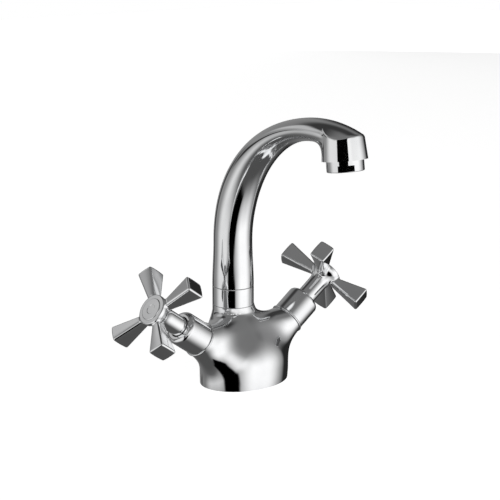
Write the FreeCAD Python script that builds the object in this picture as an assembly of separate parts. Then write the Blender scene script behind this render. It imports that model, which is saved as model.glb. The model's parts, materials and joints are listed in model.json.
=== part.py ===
import FreeCAD, Part
import math
import os

# Two-handle basin mixer with a swivel spout.
# Millimetres and degrees, +Z up, front towards -Y.
# The origin is the centre of the oval base on the deck.
# A valve's own frame has Z along its arm, outwards from the body's middle plane.

# Body
base_half_width = 33.6
base_half_depth = 26.3
base_wall_height = 13.0
shoulder_height = 40.0
shoulder_share = 0.25
shoulder_fullness = 15.0
shoulder_crest = 0.4
neck_blend = 7.0
yoke_top = 44.4
yoke_bottom = 8.0
yoke_half_depth = 13.0
yoke_curve = 2.2
yoke_sections = 9
wall_sections = 3
dome_sections = 7
neck_sections = 4
neck_radius = 14.4
neck_set_back = 12.0
neck_top = 51.8
arm_radius = 11.9
arm_tilt = 35.5
arm_axis_height = 8.2
arm_end = 47.2
arm_blend = 7.0
seam_chamfer = 0.4

# Base underside
pocket_wall = 5.6
pocket_depth = 9.0
gasket_width = 2.4
gasket_depth = 1.6
gasket_inset = 1.6
gasket_clearance = 0.1
stud_hole_radius = 3.4
stud_hole_depth = 13.0
stud_forward = 13.0
inlet_radius = 4.5
inlet_spacing = 21.0
inlet_depth = 11.0

# Water ways in the body
seat_start = 25.0
port_radius = 4.4
port_start = 17.5
gallery_radius = 3.0
gallery_height = 31.0
gallery_half_length = 21.0
outlet_way_radius = 6.0
outlet_way_floor = 27.0

# Spout seat and collar nut
socket_radius = 9.6
stub_wall = 2.4
stub_radius = socket_radius + stub_wall
stub_top = 60.8
socket_floor = 38.0
collar_top = 65.1
collar_lip = 2.3
thread_clearance = 0.05

# Spout
spout_start = 65.4
bend_start = 97.0
bend_radius = 86.2
column_radius = 13.4
arm_half_width = 12.4
arm_half_height = 7.4
flatten_from = 14.0
flatten_to = 82.0
bend_end = 103.0
bend_sections = 7
spout_wall = 2.6
channel_end = 100.0

# Outlet head at the spout's end
head_reach = 23.3
head_drop = 15.8
head_tilt = 7.5
head_radius = 14.5
head_taper = 0.085
head_height = 30.0
head_crown = 19.0
head_rise = 0.25
roof_spread = 16.0
head_round = 1.0
throat_length = 16.0
throat_end = 2.5
throat_end_radius = 13.3
throat_inset = 0.15
throat_sections = 5
head_thread_depth = 9.0
head_chamber_radius = 9.6
head_chamber_top = 13.0

# Spout tail
tail_end = 40.5
tail_wall = 3.1
swivel_clearance = 0.1
tail_bore_radius = socket_radius - swivel_clearance - tail_wall
seal_groove_depth = 1.6
seal_groove_radius = socket_radius - seal_groove_depth
seal_groove_width = 2.2
seal_heights = (44.0, 49.0)
seal_clearance = 0.05
slip_ring_bearing = 1.6
slip_ring_outer = socket_radius + slip_ring_bearing
slip_ring_thickness = 1.2
slip_ring_gap = 3.0
slip_groove_depth = 1.2
slip_groove_radius = socket_radius - slip_groove_depth
slip_groove_clearance = 0.05
slip_clearance = 0.2

# Aerator
aerator_radius = 11.9
aerator_drop = 7.1
aerator_grip = 6.6
aerator_wall = 1.7
aerator_lip = 0.9
aerator_rim_round = 0.6
aerator_flats = 21.4
flats_height = 4.2
flats_turn = 50.0
washer_inner = 9.4
screen_thickness = 0.6
screen_cell = 1.9
screen_web = 0.6
insert_height = 5.0
insert_cell = 2.0
insert_web = 0.6
insert_rim = 1.2
drop_in_clearance = 0.1

# Bonnet and trim ring over each valve
trim_ring_thickness = 2.2
trim_ring_proud = 0.8
bonnet_radius = 11.7
bonnet_end = 69.2
bonnet_wall = 1.4
bonnet_fit = 0.1
bonnet_round = 3.0
bonnet_end_wall = 3.2
shank_clearance = 0.5

# Headwork and spindle in each valve
headwork_thread = 8.3
headwork_thread_start = 36.0
headwork_bore = 5.05
headwork_hex = 17.0
headwork_flange_end = 52.0
headwork_hex_end = 57.0
headwork_top = 62.0
headwork_neck_wall = 1.55
headwork_neck = headwork_bore + headwork_neck_wall
disc_radius = 5.9
disc_clearance = 0.1
cage_wall = 0.9
headwork_cage = disc_radius + disc_clearance + cage_wall
disc_thickness = 2.4
disc_gap = 0.03
disc_port_inner = 1.6
disc_port_outer = 4.6
disc_port_angle = 140.0
disc_slot_clearance = 0.05
window_width = 5.0
seal_ring_thickness = 2.2
seal_ring_outer = 6.6
seal_ring_inner = 3.9
spindle_clearance = 0.07
spindle_shoulder = 3.0
spindle_tip = 3.95
spindle_top = 85.0
tang_width = 3.0
tang_length = 1.2
stem_seal_at = 45.0
stem_seal_depth = 1.55
stem_seal_groove = headwork_bore - stem_seal_depth
stem_seal_width = 2.0
clip_thickness = 0.9
clip_depth = 0.95
clip_groove = headwork_bore - clip_depth
clip_bearing = 1.15
clip_outer = headwork_bore + clip_bearing
clip_gap = 3.0
clip_clearance = 0.1
stem_collar = 1.0

# Cross handle
hot_handle_turn = 46.4
cold_handle_turn = 29.0
handle_reach = 34.1
tip_width = 12.2
tip_front = 99.0
tip_depth = 14.6
root_width = 6.0
root_depth = 7.4
handle_edge_round = 0.9
hub_radius = 10.8
hub_front = 97.0
hub_back = 87.4
hub_round = 0.8
shank_radius = 6.8
shank_start = 66.6
shank_flare = 4.0
spline_clearance = 0.06
handle_floor = 3.0
tap_run_out = 1.0
cap_radius = 7.9
cap_plug_radius = 5.4
cap_plug_length = 2.0
cap_depth = 1.8
cap_proud = 0.5
cap_chamfer = 0.8
cap_clearance = 0.05
cap_dot_radius = 3.4
cap_dot_depth = 0.3
screw_radius = 2.0
screw_hole_clearance = 0.4
screw_head_radius = 4.0
screw_head_height = 2.8
screw_length = 13.0
screw_slot_width = 1.2
screw_slot_depth = 1.2

# Points round each oval section
oval_points = 8

V = FreeCAD.Vector
up = V(0, 0, 1)
spout_axis = V(0, neck_set_back, 0)


def cylinder(radius, start, end, centre=V(0, 0, 0)):
    return Part.makeCylinder(radius, end - start, centre + V(0, 0, start), up)


def tube(outer, inner, start, end, centre=V(0, 0, 0)):
    return cylinder(outer, start, end, centre).cut(cylinder(inner, start - 1, end + 1, centre))


def smooth_step(value):
    limited = min(1.0, max(0.0, value))
    return limited * limited * (3 - 2 * limited)


def between(first, last, share):
    return first + (last - first) * share


def circles_at(solid, radius, height):
    found = []
    for edge in solid.Edges:
        curve = edge.Curve
        if curve.TypeId != "Part::GeomCircle":
            continue
        if abs(curve.Radius - radius) < 0.01 and abs(curve.Center.z - height) < 0.01:
            found.append(edge)
    return found


def valve_place(side):
    turn = FreeCAD.Rotation(V(0, 1, 0), side * (90 - arm_tilt))
    return FreeCAD.Placement(V(0, 0, arm_axis_height), turn)


def placed(solid, side):
    copy = solid.copy()
    copy.Placement = valve_place(side).multiply(copy.Placement)
    return copy


# Mixer body

def stretched_circle(centre, across, along):
    points = []
    for step in range(oval_points):
        turn = 2 * math.pi * step / oval_points
        points.append(centre + across * math.cos(turn) + along * math.sin(turn))
    curve = Part.BSplineCurve()
    curve.interpolate(Points=points, PeriodicFlag=True)
    return Part.Wire(curve.toShape())


def oval(half_x, half_y, centre_y, height):
    return stretched_circle(V(0, centre_y, height), V(0, half_y, 0), V(-half_x, 0, 0))


def oval_block(inset, start, end):
    wire = oval(base_half_width - inset, base_half_depth - inset, 0, start)
    return Part.Face(wire).extrude(V(0, 0, end - start))


def body_section(share, height):
    half_x = between(neck_radius, base_half_width, share)
    half_y = between(neck_radius, base_half_depth, share)
    return oval(half_x, half_y, neck_set_back * (1 - share), height)


def curve_points(corners, count):
    curve = Part.BezierCurve()
    curve.setPoles([V(share, 0, height) for share, height in corners])
    return [curve.value((index + 1) / count) for index in range(count)]


def body_core():
    crest = (shoulder_share, shoulder_height)
    dome = [(1, base_wall_height), (1, base_wall_height + shoulder_fullness)]
    dome += [(shoulder_share + shoulder_crest, shoulder_height), crest]
    neck = [crest, (0, shoulder_height), (0, shoulder_height + neck_blend)]
    points = [V(1, 0, base_wall_height * index / wall_sections) for index in range(wall_sections + 1)]
    points += curve_points(dome, dome_sections) + curve_points(neck, neck_sections)
    rise = neck_top - shoulder_height - neck_blend
    points += [V(0, 0, neck_top - rise * share) for share in (0.5, 0)]
    return Part.makeLoft([body_section(point.x, point.z) for point in points], True)


def yoke_section(share):
    size = abs(share)
    tilt = math.radians(arm_tilt)
    end = V(math.cos(tilt), 0, math.sin(tilt)) * arm_end + V(0, 0, arm_axis_height)
    end_up = V(-math.sin(tilt), 0, math.cos(tilt)) * arm_radius
    end_top = end + end_up
    end_bottom = end - end_up
    top = V(end_top.x * share, 0, between(yoke_top, end_top.z, size * size))
    bottom = V(end_bottom.x * share, 0, between(yoke_bottom, end_bottom.z, size ** yoke_curve))
    half_depth = between(yoke_half_depth, arm_radius, smooth_step(size))
    return stretched_circle((top + bottom) * 0.5, (bottom - top) * 0.5, V(0, half_depth, 0))


def yoke():
    last = yoke_sections - 1
    return Part.makeLoft([yoke_section(2 * index / last - 1) for index in range(yoke_sections)], True)


def blend_edges(solid):
    found = []
    for edge in solid.Edges:
        faces = solid.ancestorsOfType(edge, Part.Face)
        kinds = [face.Surface.TypeId for face in faces]
        if len(set(kinds)) == 1 and len(faces) == 2 and not edge.isSeam(faces[0]):
            found.append(edge)
    return found


def body_outside():
    outside = body_core().fuse(yoke())
    outside = outside.makeFillet(arm_blend, blend_edges(outside))
    return outside.fuse(cylinder(stub_radius, neck_top - 1, stub_top, spout_axis))


def body_water_ways():
    ways = [cylinder(socket_radius, socket_floor, stub_top + 1, spout_axis)]
    ways.append(cylinder(outlet_way_radius, outlet_way_floor, socket_floor + 1, spout_axis))
    gallery_start = V(-gallery_half_length, neck_set_back - outlet_way_radius / 2, gallery_height)
    ways.append(Part.makeCylinder(gallery_radius, 2 * gallery_half_length, gallery_start, V(1, 0, 0)))
    valve_bore = cylinder(headwork_thread + thread_clearance, seat_start, arm_end + 1)
    port = cylinder(port_radius, port_start, seat_start + 1)
    for side in (-1, 1):
        ways.append(placed(valve_bore, side))
        ways.append(placed(port, side))
        inlet_place = V(side * inlet_spacing / 2, 0, 0)
        ways.append(cylinder(inlet_radius, pocket_depth - 1, pocket_depth + inlet_depth, inlet_place))
    return ways


def base_recesses():
    pocket = oval_block(pocket_wall, -1, pocket_depth)
    groove = oval_block(gasket_inset, -1, gasket_depth)
    groove = groove.cut(oval_block(gasket_inset + gasket_width, -2, gasket_depth + 1))
    stud_place = V(0, -stud_forward, 0)
    stud_hole = cylinder(stud_hole_radius, pocket_depth - 1, pocket_depth + stud_hole_depth, stud_place)
    return [pocket, groove, stud_hole]


def mixer_body():
    solid = body_outside()
    for cutter in base_recesses() + body_water_ways():
        solid = solid.cut(cutter)
    return solid


def base_gasket():
    outer = oval_block(gasket_inset + gasket_clearance, gasket_clearance, gasket_depth)
    inner = oval_block(gasket_inset + gasket_width - gasket_clearance, -1, gasket_depth + 1)
    return outer.cut(inner)


def spout_collar_nut():
    nut = cylinder(neck_radius, neck_top, collar_top, spout_axis)
    edges = circles_at(nut, neck_radius, neck_top) + circles_at(nut, neck_radius, collar_top)
    nut = nut.makeChamfer(seam_chamfer, edges)
    nut = nut.cut(cylinder(stub_radius + thread_clearance, neck_top - 1, collar_top - collar_lip, spout_axis))
    return nut.cut(cylinder(socket_radius + slip_clearance, neck_top, collar_top + 1, spout_axis))


# Spout

def bend_point(angle):
    centre_y = neck_set_back - bend_radius
    y = centre_y + bend_radius * math.cos(math.radians(angle))
    z = bend_start + bend_radius * math.sin(math.radians(angle))
    return V(0, y, z)


def spout_oval(centre, angle, half_width, half_height):
    outward = V(0, math.cos(math.radians(angle)), math.sin(math.radians(angle)))
    return stretched_circle(centre, V(half_width, 0, 0), outward * half_height)


def bend_section(angle, inset):
    share = smooth_step((angle - flatten_from) / (flatten_to - flatten_from))
    half_width = between(column_radius, arm_half_width, share) - inset
    half_height = between(column_radius, arm_half_height, share) - inset
    return spout_oval(bend_point(angle), angle, half_width, half_height)


def spout_arm(inset, start, last_angle):
    sections = []
    for height in (start, between(start, bend_start, 0.5)):
        share = smooth_step((height - spout_start) / (bend_start - spout_start))
        radius = between(neck_radius, column_radius, share) - inset
        sections.append(spout_oval(spout_axis + V(0, 0, height), 0, radius, radius))
    for index in range(bend_sections):
        sections.append(bend_section(last_angle * index / (bend_sections - 1), inset))
    return Part.makeLoft(sections, True)


def head_place():
    turn = FreeCAD.Rotation(V(1, 0, 0), -head_tilt)
    crown = V(0, neck_set_back - bend_radius, bend_start + bend_radius)
    return FreeCAD.Placement(crown - V(0, head_reach, head_drop), turn)


def on_head(solid):
    copy = solid.copy()
    copy.Placement = head_place().multiply(copy.Placement)
    return copy


def head_roof():
    centre = V(0, neck_set_back - bend_radius, bend_start)
    top = bend_radius + arm_half_height + head_rise
    half_span = head_radius + head_round
    fall = head_crown - math.sqrt(head_crown ** 2 - half_span ** 2)
    left = centre + V(-half_span, 0, top - fall)
    right = centre + V(half_span, 0, top - fall)
    crest = centre + V(0, 0, top)
    down = V(0, 0, -head_height)
    arch = Part.Arc(left, crest, right).toShape()
    sides = Part.makePolygon([right, right + down, left + down, left])
    face = Part.Face(Part.Wire([arch] + sides.Edges))
    return face.rotated(centre, V(1, 0, 0), -roof_spread).revolve(centre, V(1, 0, 0), 3 * roof_spread)


def outlet_head():
    top_radius = head_radius - head_taper * head_height
    cone = on_head(Part.makeCone(head_radius, top_radius, head_height))
    return cone.common(head_roof())


def throat_line():
    back = head_radius - head_taper * throat_end - throat_inset
    end = head_place().multVec(V(0, back, throat_end))
    axis = head_place().Rotation.multVec(up)
    under = bend_start + bend_radius - arm_half_height + throat_inset
    corner = end + axis * ((under - end.z) / axis.z)
    line = Part.BezierCurve()
    line.setPoles([V(0, end.y + throat_length, under), corner, end])
    return line


def throat_section(line, share):
    growth = share ** 3
    outward = line.tangent(share)[0].cross(V(1, 0, 0)).normalize()
    half_height = between(arm_half_height - 2 * throat_inset, throat_end_radius, growth)
    half_width = between(arm_half_width - throat_inset, throat_end_radius, growth)
    centre = line.value(share) + outward * half_height
    return stretched_circle(centre, outward * half_height, V(half_width, 0, 0))


def throat():
    line = throat_line()
    last = throat_sections - 1
    return Part.makeLoft([throat_section(line, index / last) for index in range(throat_sections)], True)


def spout_outside():
    arm = spout_arm(0, spout_start, bend_end)
    tail = cylinder(socket_radius - swivel_clearance, tail_end, spout_start + spout_wall, spout_axis)
    return arm.fuse([outlet_head(), throat()]).fuse(tail)


def spout_water_way():
    floor = spout_start + spout_wall
    ways = [spout_arm(spout_wall, floor, channel_end)]
    ways.append(cylinder(tail_bore_radius, tail_end - 1, floor + 1, spout_axis))
    ways.append(on_head(cylinder(aerator_radius + thread_clearance, -1, head_thread_depth)))
    ways.append(on_head(cylinder(head_chamber_radius, head_thread_depth - 1, head_chamber_top)))
    return ways


def slip_ring_start():
    return stub_top + slip_clearance


def tail_grooves():
    grooves = []
    for height in seal_heights:
        start = height - seal_groove_width / 2
        grooves.append(tube(socket_radius, seal_groove_radius, start, start + seal_groove_width, spout_axis))
    start = slip_ring_start() - slip_groove_clearance
    end = slip_ring_start() + slip_ring_thickness + slip_groove_clearance
    grooves.append(tube(socket_radius, slip_groove_radius, start, end, spout_axis))
    return grooves


def spout():
    solid = spout_outside()
    for cutter in spout_water_way() + tail_grooves():
        solid = solid.cut(cutter)
    return solid


def groove_seal(outer, inner, width, height, centre=V(0, 0, 0)):
    start = height - width / 2 + seal_clearance
    return tube(outer - seal_clearance, inner + seal_clearance, start, start + width - 2 * seal_clearance, centre)


def spout_seals():
    rings = []
    for height in seal_heights:
        rings.append(groove_seal(socket_radius, seal_groove_radius, seal_groove_width, height, spout_axis))
    return Part.makeCompound(rings)


def split_ring(outer, inner, start, thickness, gap, centre=V(0, 0, 0)):
    ring = tube(outer, inner, start, start + thickness, centre)
    opening = Part.makeBox(gap, outer + 1, thickness + 2, centre + V(-gap / 2, 0, start - 1))
    return ring.cut(opening)


def spout_slip_ring():
    inner = slip_groove_radius + slip_groove_clearance
    start = slip_ring_start()
    return split_ring(slip_ring_outer, inner, start, slip_ring_thickness, slip_ring_gap, spout_axis)


# Aerator, drawn in the outlet head's own frame

def square_cells(radius, cell, web, start, end):
    pitch = cell + web
    count = int(radius / pitch) + 1
    steps = range(-count, count + 1)
    cells = []
    for row in steps:
        for column in steps:
            corner = V(abs(row) * pitch + cell / 2, abs(column) * pitch + cell / 2, 0)
            if corner.Length < radius:
                place = V(row * pitch - cell / 2, column * pitch - cell / 2, start)
                cells.append(Part.makeBox(cell, cell, end - start, place))
    return cells


def aerator_housing():
    inner = aerator_radius - aerator_wall
    housing = cylinder(aerator_radius, -aerator_drop, aerator_grip)
    housing = housing.makeFillet(aerator_rim_round, circles_at(housing, aerator_radius, -aerator_drop))
    housing = housing.cut(cylinder(inner, aerator_lip - aerator_drop, aerator_grip + 1))
    housing = housing.cut(cylinder(inner - aerator_lip, -aerator_drop - 1, aerator_grip))
    flat_place = V(aerator_flats / 2, -aerator_radius, -aerator_drop - 1)
    flat = Part.makeBox(aerator_radius, 2 * aerator_radius, flats_height + 1, flat_place)
    for turn in (flats_turn, flats_turn + 180):
        housing = housing.cut(flat.rotated(V(0, 0, 0), up, turn))
    return on_head(housing)


def aerator_insert():
    outer = aerator_radius - aerator_wall - drop_in_clearance
    start = aerator_lip - aerator_drop
    top = aerator_grip - screen_thickness
    grid_end = start + insert_height
    insert = cylinder(outer, start, top).cut(cylinder(outer - insert_rim, grid_end, top + 1))
    cells = square_cells(outer - insert_rim, insert_cell, insert_web, start - 1, grid_end + 1)
    return on_head(insert.cut(cells))


def aerator_screen():
    outer = aerator_radius - aerator_wall - drop_in_clearance
    start = aerator_grip - screen_thickness
    cells = square_cells(outer - insert_rim, screen_cell, screen_web, start - 1, aerator_grip + 1)
    return on_head(cylinder(outer, start, aerator_grip).cut(cells))


def aerator_washer():
    return on_head(tube(aerator_radius, washer_inner, aerator_grip, head_thread_depth))


# Valves, drawn in a valve's own frame

def bonnet_inner():
    return bonnet_radius - bonnet_wall


def trim_ring():
    outer = bonnet_radius + trim_ring_proud
    end = arm_end + trim_ring_thickness
    ring = cylinder(outer, arm_end, end)
    ring = ring.makeChamfer(trim_ring_proud, circles_at(ring, outer, arm_end) + circles_at(ring, outer, end))
    return ring.cut(cylinder(bonnet_inner(), arm_end - 1, end + 1))


def bonnet():
    start = arm_end + trim_ring_thickness
    shell = cylinder(bonnet_radius, start, bonnet_end)
    shell = shell.makeFillet(bonnet_round, circles_at(shell, bonnet_radius, bonnet_end))
    shell = shell.cut(cylinder(bonnet_inner(), start - 1, bonnet_end - bonnet_end_wall))
    return shell.cut(cylinder(shank_radius + shank_clearance, start, bonnet_end + 1))


def disc_start():
    return seat_start + seal_ring_thickness


def moving_disc_start():
    return disc_start() + disc_thickness + disc_gap


def spindle_start():
    return moving_disc_start() + disc_thickness


def stem_start():
    return spindle_start() + spindle_shoulder


def seat_seal():
    return tube(seal_ring_outer, seal_ring_inner, seat_start, disc_start())


def fan(inner, outer, start, end, direction):
    sector = Part.makeCylinder(outer, end - start, V(0, 0, start), up, disc_port_angle)
    sector.rotate(V(0, 0, 0), up, direction - disc_port_angle / 2)
    return sector.cut(cylinder(inner, start - 1, end + 1))


def fixed_disc():
    start = disc_start()
    disc = cylinder(disc_radius, start, start + disc_thickness)
    return disc.cut(fan(disc_port_inner, disc_port_outer, start - 1, start + disc_thickness + 1, 180))


def tang(width, length, radius):
    start = spindle_start() - length
    block = Part.makeBox(width, 2 * radius, length + 1, V(-width / 2, -radius, start))
    return block.common(cylinder(radius, start, start + length + 1))


def moving_disc():
    start = moving_disc_start()
    disc = cylinder(disc_radius, start, start + disc_thickness)
    disc = disc.cut(fan(disc_port_inner, disc_radius + 1, start - 1, start + disc_thickness + 1, 0))
    slot_width = tang_width + 2 * disc_slot_clearance
    return disc.cut(tang(slot_width, tang_length + disc_slot_clearance, disc_radius + 1))


def hexagon(across, start, end):
    corner = across / math.sqrt(3)
    points = []
    for step in range(7):
        turn = math.radians(60 * step)
        points.append(V(corner * math.cos(turn), corner * math.sin(turn), start))
    return Part.Face(Part.makePolygon(points)).extrude(V(0, 0, end - start))


def headwork():
    outside = cylinder(headwork_cage, disc_start(), headwork_thread_start)
    outside = outside.fuse(cylinder(headwork_thread, headwork_thread_start, arm_end))
    outside = outside.fuse(cylinder(bonnet_inner() - bonnet_fit, arm_end, headwork_flange_end))
    outside = outside.fuse(hexagon(headwork_hex, headwork_flange_end, headwork_hex_end))
    outside = outside.fuse(cylinder(headwork_neck, headwork_hex_end, headwork_top))
    chamber = cylinder(disc_radius + disc_clearance, disc_start() - 1, stem_start() + disc_clearance)
    stem_bore = cylinder(headwork_bore, disc_start(), headwork_top + 1)
    window_place = V(-headwork_thread, -window_width / 2, disc_start() + disc_thickness)
    windows = Part.makeBox(2 * headwork_thread, window_width, disc_thickness, window_place)
    return outside.cut(chamber).cut(stem_bore).cut(windows)


def clip_start():
    return headwork_top + clip_clearance


def spindle():
    stem_radius = headwork_bore - spindle_clearance
    stem_end = clip_start() + clip_thickness + clip_clearance + stem_collar
    solid = cylinder(disc_radius, spindle_start(), stem_start())
    solid = solid.fuse(tang(tang_width, tang_length, disc_radius - disc_clearance))
    solid = solid.fuse(cylinder(stem_radius, stem_start(), stem_end))
    solid = solid.fuse(cylinder(spindle_tip, stem_end, spindle_top))
    seal_start = stem_seal_at - stem_seal_width / 2
    solid = solid.cut(tube(headwork_bore, stem_seal_groove, seal_start, seal_start + stem_seal_width))
    clip_end = clip_start() + clip_thickness + clip_clearance
    solid = solid.cut(tube(headwork_bore, clip_groove, clip_start() - clip_clearance, clip_end))
    tap_end = spindle_top + handle_floor - screw_length - tap_run_out
    return solid.cut(cylinder(screw_radius + thread_clearance, tap_end, spindle_top + 1))


def spindle_seal():
    return groove_seal(headwork_bore, stem_seal_groove, stem_seal_width, stem_seal_at)


def spindle_clip():
    return split_ring(clip_outer, clip_groove + thread_clearance, clip_start(), clip_thickness, clip_gap)


# Cross handle, drawn in a valve's own frame

def screw_seat():
    return spindle_top + spline_clearance + handle_floor


def cap_seat():
    return hub_front - cap_depth


def cross_arm():
    start = cap_radius - cap_depth
    share = (start - hub_radius) / (handle_reach - hub_radius)
    half_width = between(root_width, tip_width, share) / 2
    half_depth = between(root_depth, tip_depth, share) / 2
    middle = tip_front - tip_depth / 2
    low = (-half_width, start, middle - half_depth, tip_front - tip_depth, -tip_width / 2)
    high = (half_width, handle_reach, middle + half_depth, tip_front, tip_width / 2)
    arm = Part.makeWedge(*low, *high)
    rounded = [edge for edge in arm.Edges if edge.BoundBox.YMax > handle_reach - 0.01]
    return arm.makeFillet(handle_edge_round, rounded)


def handle_stem():
    stem = cylinder(hub_radius, hub_back, hub_front)
    rims = circles_at(stem, hub_radius, hub_back) + circles_at(stem, hub_radius, hub_front)
    stem = stem.makeFillet(hub_round, rims)
    stem = stem.fuse(cylinder(shank_radius, shank_start, hub_back))
    return stem.makeFillet(shank_flare, circles_at(stem, shank_radius, hub_back))


def handle(turn):
    arms = [cross_arm().rotated(V(0, 0, 0), up, turn + 90 * index) for index in range(4)]
    solid = handle_stem().fuse(arms)
    solid = solid.cut(cylinder(spindle_tip + spline_clearance, shank_start - 1, spindle_top + spline_clearance))
    solid = solid.cut(cylinder(screw_radius + screw_hole_clearance, spindle_top, screw_seat() + 1))
    solid = solid.cut(cylinder(screw_head_radius + screw_hole_clearance, screw_seat(), hub_front))
    solid = solid.cut(cylinder(cap_plug_radius + cap_clearance, cap_seat() - cap_plug_length, hub_front))
    return solid.cut(cylinder(cap_radius + cap_clearance, cap_seat(), hub_front + 1))


def index_cap():
    top = hub_front + cap_proud
    cap = cylinder(cap_radius, cap_seat(), top)
    cap = cap.makeChamfer(cap_chamfer, circles_at(cap, cap_radius, top))
    cap = cap.fuse(cylinder(cap_plug_radius, cap_seat() - cap_plug_length, cap_seat()))
    return cap.cut(cylinder(cap_dot_radius, top - cap_dot_depth, top + 1))


def handle_screw():
    head_end = screw_seat() + screw_head_height
    screw = cylinder(screw_head_radius, screw_seat(), head_end)
    screw = screw.fuse(cylinder(screw_radius, screw_seat() - screw_length, screw_seat()))
    slot_place = V(-screw_slot_width / 2, -screw_head_radius, head_end - screw_slot_depth)
    return screw.cut(Part.makeBox(screw_slot_width, 2 * screw_head_radius, screw_slot_depth + 1, slot_place))


nodes = {}
nodes["mixer_body"] = mixer_body()
nodes["base_gasket"] = base_gasket()
nodes["spout_collar_nut"] = spout_collar_nut()
nodes["spout"] = spout()
nodes["spout_seals"] = spout_seals()
nodes["spout_slip_ring"] = spout_slip_ring()
nodes["aerator_housing"] = aerator_housing()
nodes["aerator_insert"] = aerator_insert()
nodes["aerator_screen"] = aerator_screen()
nodes["aerator_washer"] = aerator_washer()

valve_pieces = (
    trim_ring, bonnet, seat_seal, fixed_disc, moving_disc, headwork,
    spindle, spindle_seal, spindle_clip, index_cap, handle_screw,
)
valves = (("hot", -1, hot_handle_turn), ("cold", 1, cold_handle_turn))
for valve, side, turn in valves:
    nodes[valve + "_handle"] = placed(handle(turn), side)
    for piece in valve_pieces:
        nodes[valve + "_" + piece.__name__] = placed(piece(), side)

os.makedirs("parts", exist_ok=True)
for name, solid in nodes.items():
    solid.exportStep("parts/" + name + ".step")
    print(name, len(solid.Solids), solid.isValid(), round(solid.Volume, 1))
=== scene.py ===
import json
import math
import bpy
import bmesh
import numpy as np
from mathutils import Matrix, Vector


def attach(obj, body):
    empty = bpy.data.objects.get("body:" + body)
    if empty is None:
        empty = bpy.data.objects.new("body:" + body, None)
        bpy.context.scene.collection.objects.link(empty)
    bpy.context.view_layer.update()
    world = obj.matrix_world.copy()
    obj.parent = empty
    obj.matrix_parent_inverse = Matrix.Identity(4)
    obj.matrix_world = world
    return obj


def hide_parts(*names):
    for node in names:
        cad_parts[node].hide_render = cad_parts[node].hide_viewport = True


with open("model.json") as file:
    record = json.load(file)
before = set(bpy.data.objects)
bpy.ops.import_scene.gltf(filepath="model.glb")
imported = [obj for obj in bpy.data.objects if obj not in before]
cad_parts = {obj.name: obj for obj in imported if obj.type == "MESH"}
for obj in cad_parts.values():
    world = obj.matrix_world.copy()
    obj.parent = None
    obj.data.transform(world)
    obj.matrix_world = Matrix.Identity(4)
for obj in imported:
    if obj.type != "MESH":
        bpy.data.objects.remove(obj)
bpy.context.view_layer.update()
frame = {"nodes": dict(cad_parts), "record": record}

mm = 0.001  # shapes below are worked out in millimetres


# Small sums that the shapes share

meshRules = {"slopeStep": 0.05, "leastSlope": 0.2, "leastReach": 0.03, "longestStep": 1.0,
             "block": 6, "blockMargin": 1.6, "weldSteps": 2000, "tiny": 1e-6, "leastLength": 1e-9}


def between(first, last, share):
    return first + (last - first) * share


def smoothStep(value):
    limited = np.clip(value, 0.0, 1.0)
    return limited * limited * (3 - 2 * limited)


def slopes(field, points):
    step = meshRules["slopeStep"]
    result = np.empty_like(points)
    for axis in range(3):
        shift = np.zeros(3)
        shift[axis] = step
        result[:, axis] = field(points + shift) - field(points - shift)
    return result / (2 * step)


def unit(rows):
    return rows / np.maximum(np.linalg.norm(rows, axis=1, keepdims=True), meshRules["leastLength"])


# Joins two forms with a soft fillet, which fades out where their skins run side by side
def filletJoin(firstForm, secondForm, radiusAt, fade=1.0):
    least = meshRules["leastSlope"]

    def joined(points):
        firstSlope = slopes(firstForm, points)
        secondSlope = slopes(secondForm, points)
        first = firstForm(points) / np.maximum(np.linalg.norm(firstSlope, axis=1), least)
        second = secondForm(points) / np.maximum(np.linalg.norm(secondSlope, axis=1), least)
        facing = (unit(firstSlope) * unit(secondSlope)).sum(axis=1)
        reach = radiusAt(points) * np.clip(1 - fade * facing, meshRules["leastReach"], 1.0)
        return roundJoin(first, second, reach)
    return joined


def roundJoin(first, second, radius):
    depth = np.maximum(radius - np.abs(first - second), 0)
    return np.minimum(first, second) - depth * depth / (4 * radius)


# A block inside its walls (how far past each wall a point is), with round edges
def roundedBlock(walls, edge):
    proud = walls + edge
    outside = np.linalg.norm(np.maximum(proud, 0), axis=1)
    return outside + np.minimum(proud.max(axis=1), 0) - edge


# A form's values on a grid, worked out in coarse blocks first and then cell by cell near the skin
def skinCells(form, low, high, cell):
    block = meshRules["block"]
    blocks = np.ceil((np.array(high) - low) / (cell * block)).astype(int) + 1
    middle = np.stack(np.meshgrid(*[np.arange(n) for n in blocks], indexing="ij"), -1).reshape(-1, 3)
    values = form(low + cell * (middle * block + (block - 1) / 2)).reshape(blocks)
    for axis in range(3):
        values = np.repeat(values, block, axis)
    near = np.abs(values) < meshRules["blockMargin"] * block * cell
    values[near] = form(low + cell * np.argwhere(near))
    return values


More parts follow.
